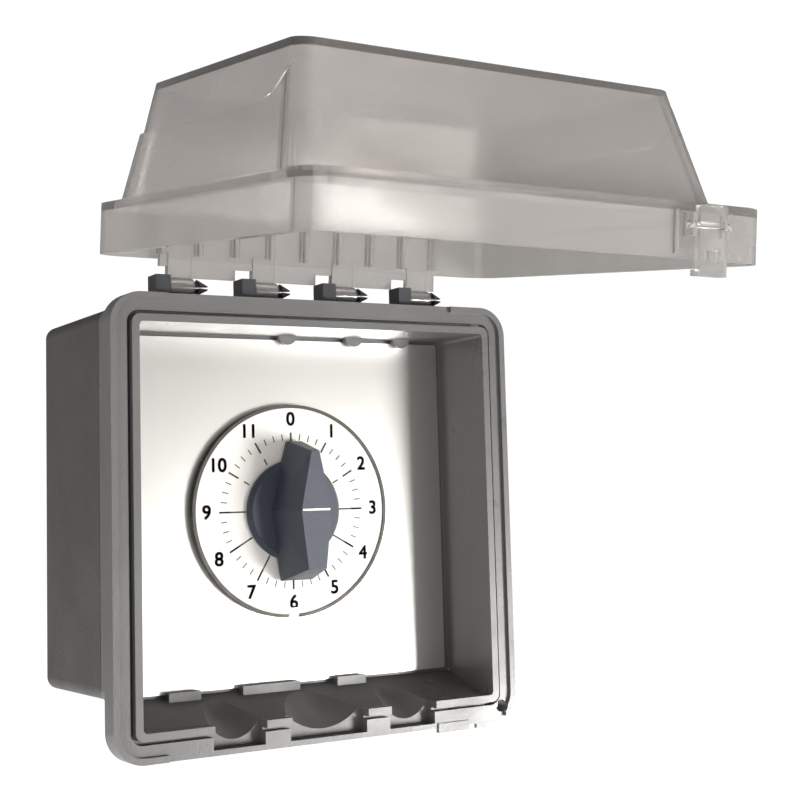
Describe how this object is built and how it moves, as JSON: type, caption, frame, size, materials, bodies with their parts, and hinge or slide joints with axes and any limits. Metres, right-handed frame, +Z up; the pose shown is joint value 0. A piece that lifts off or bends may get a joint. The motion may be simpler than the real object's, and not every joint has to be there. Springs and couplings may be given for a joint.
{
  "type": "irrigation controller",
  "caption": "Spring-wound hour timer with a turn knob and dial in a two-gang weatherproof wall box with a hinged clear domed lid.",
  "frame": {"origin": "on the wall, straight behind the centre of the cover's rim", "axes": "+Y into the wall, +X to the right seen from the front, +Z up"},
  "size_m": [0.134, 0.2142, 0.1913],
  "materials": {
    "box_paint": "satin cast",
    "gasket_rubber": "matt",
    "base_plastic": "fine moulded grain",
    "screw_steel": "plain",
    "clip_plastic": "satin",
    "clear_plastic": "smoky clear",
    "latch_plastic": "smoky clear",
    "plate_metal": "fine brushed",
    "dial_enamel": "smooth",
    "ring_metal": "satin",
    "knob_plastic": "fine grain",
    "line_paint": "smooth",
    "shaft_steel": "turned",
    "case_steel": "plated",
    "small_brass": "plain",
    "spring_steel": "blued",
    "cam_plastic": "plain",
    "moulding": "moulded",
    "ground_paint": "plain"
  },
  "bodies": {
    "housing": {"wall_box": "box_paint", "box_gasket": "gasket_rubber", "cover_flange": "base_plastic", "cover_base": "base_plastic", "base_screws": "screw_steel", "hinge_pin_1": "clip_plastic", "hinge_pin_2": "clip_plastic", "hinge_pin_3": "clip_plastic", "hinge_pin_4": "clip_plastic", "face_plate": "plate_metal", "dial_disc": "dial_enamel", "dial_ring": "ring_metal", "timer_case": "case_steel", "timer_cover": "case_steel", "case_rivets": "small_brass", "timer_screws": "screw_steel", "mainspring": "spring_steel", "contact_post": "small_brass", "terminal_block": "moulding", "terminal_screws": "small_brass", "closure_plugs": "box_paint", "ground_screw": "ground_paint"},
    "lid": {"lid": "clear_plastic"},
    "latch": {"latch": "latch_plastic"},
    "knob": {"knob": "knob_plastic", "knob_line": "line_paint", "arbor": "shaft_steel", "main_wheel": "small_brass", "switch_cam": "cam_plastic"},
    "second_wheel": {"second_wheel": "small_brass"},
    "escape_wheel": {"escape_wheel": "small_brass"},
    "balance_wheel": {"balance_wheel": "small_brass"},
    "contact_blade": {"contact_blade": "small_brass"}
  },
  "joints": [
    {"name": "lid_hinge", "type": "hinge", "parent": "housing", "child": "lid", "pos_m": [0, -0.0737, 0.0689], "axis": [-1, 0, 0], "range_deg": [-83.5, 14.5]},
    {"name": "latch_pivot", "type": "hinge", "parent": "lid", "child": "latch", "pos_m": [0, -0.21132, 0.07013], "axis": [-1, 0, 0], "range_deg": [0, 25]},
    {"name": "knob_turn", "type": "hinge", "parent": "housing", "child": "knob", "pos_m": [0.0004, 0, 0.0027], "axis": [0, 1, 0], "range_deg": [0, 345], "stiffness_Nm_per_rad": 0.01},
    {"name": "second_wheel_spin", "type": "hinge", "parent": "housing", "child": "second_wheel", "pos_m": [0.0154, 0, -0.0099], "axis": [0, 1, 0], "range_deg": [-1726, 1]},
    {"name": "escape_wheel_spin", "type": "hinge", "parent": "housing", "child": "escape_wheel", "pos_m": [0.0037, 0, -0.012], "axis": [0, 1, 0], "range_deg": [-1, 5176]},
    {"name": "balance_swing", "type": "hinge", "parent": "housing", "child": "balance_wheel", "pos_m": [-0.0156, 0, -0.0113], "axis": [0, 1, 0], "range_deg": [-120, 120], "stiffness_Nm_per_rad": 0.0001},
    {"name": "blade_flex", "type": "hinge", "parent": "housing", "child": "contact_blade", "pos_m": [-0.0126, 0, 0.0177], "axis": [0, -1, 0], "range_deg": [0, 6], "stiffness_Nm_per_rad": 0.02, "springref_deg": -2.86}
  ],
  "couplings": [
    {"joint": "second_wheel_spin", "follows": "knob_turn", "ratio": -5},
    {"joint": "escape_wheel_spin", "follows": "knob_turn", "ratio": 15}
  ]
}
